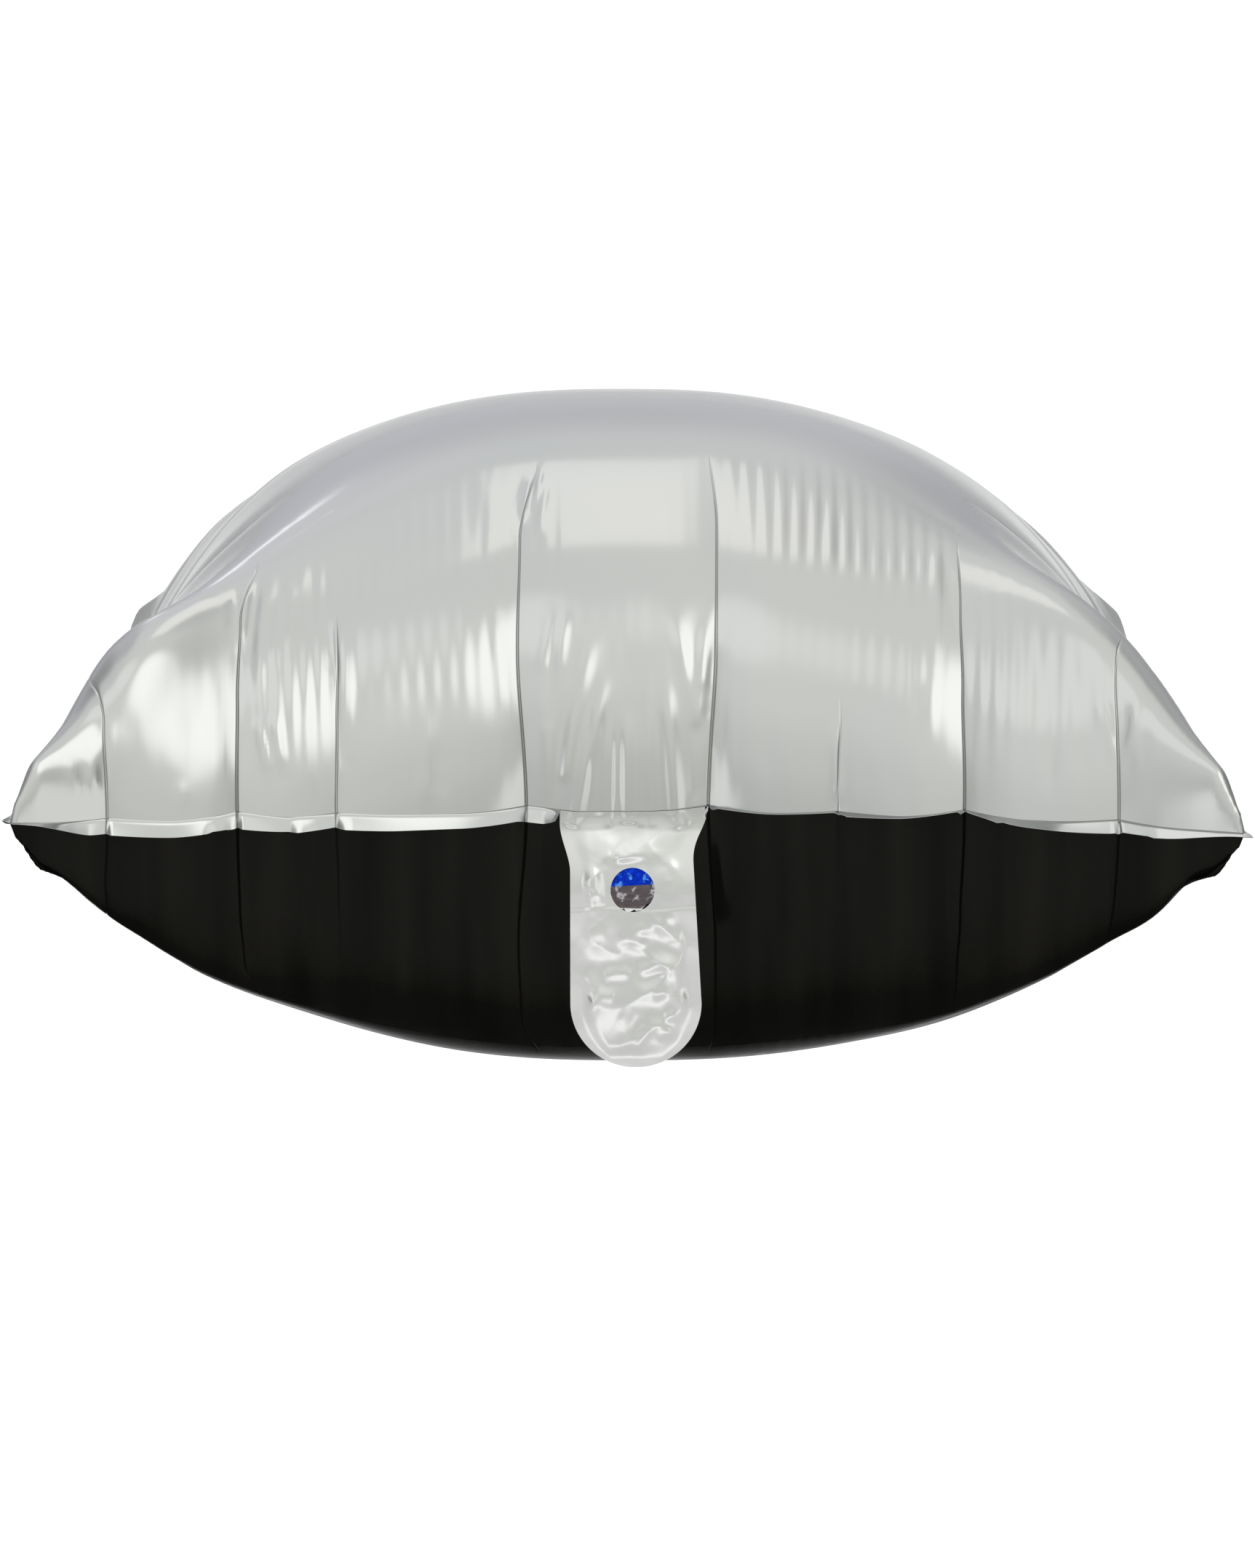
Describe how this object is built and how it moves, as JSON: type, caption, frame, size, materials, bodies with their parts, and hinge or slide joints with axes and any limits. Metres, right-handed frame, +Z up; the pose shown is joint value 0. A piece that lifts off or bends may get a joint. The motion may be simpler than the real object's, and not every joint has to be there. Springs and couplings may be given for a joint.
{
  "type": "square foil balloon",
  "caption": "Inflated square pillow of silver and black foil, welded round its edge, with a folding flat filling tail.",
  "frame": {"origin": "centre of the inflated pillow, in plan and at the height of the weld; the floating envelope is held up here by the gas in it", "axes": "+Z is up, through the silver back panel; -Y is towards the edge that carries the tail; +X is to the right with the tail's edge in front"},
  "size_m": [0.4345, 0.4341, 0.2515],
  "materials": {
    "silver_foil": "satin metallised film with fine wrinkles",
    "black_foil": "satin black film with fine wrinkles",
    "valve_blue": "translucent blue film over foil",
    "valve_clear": "clear film over foil"
  },
  "bodies": {
    "envelope": {"back_panel": "silver_foil", "front_panel": "black_foil", "back_seal_flange": "silver_foil", "front_seal_flange": "black_foil"},
    "tail": {"tail_back_ply": "silver_foil", "tail_front_ply": "black_foil", "valve_blue_film": "valve_blue", "valve_clear_film": "valve_clear"}
  },
  "joints": [
    {"name": "tail_fold", "type": "hinge", "parent": "envelope", "child": "tail", "pos_m": [0.0022, -0.18698, 0], "axis": [-1, 0, 0], "range_deg": [-8, 174]}
  ]
}
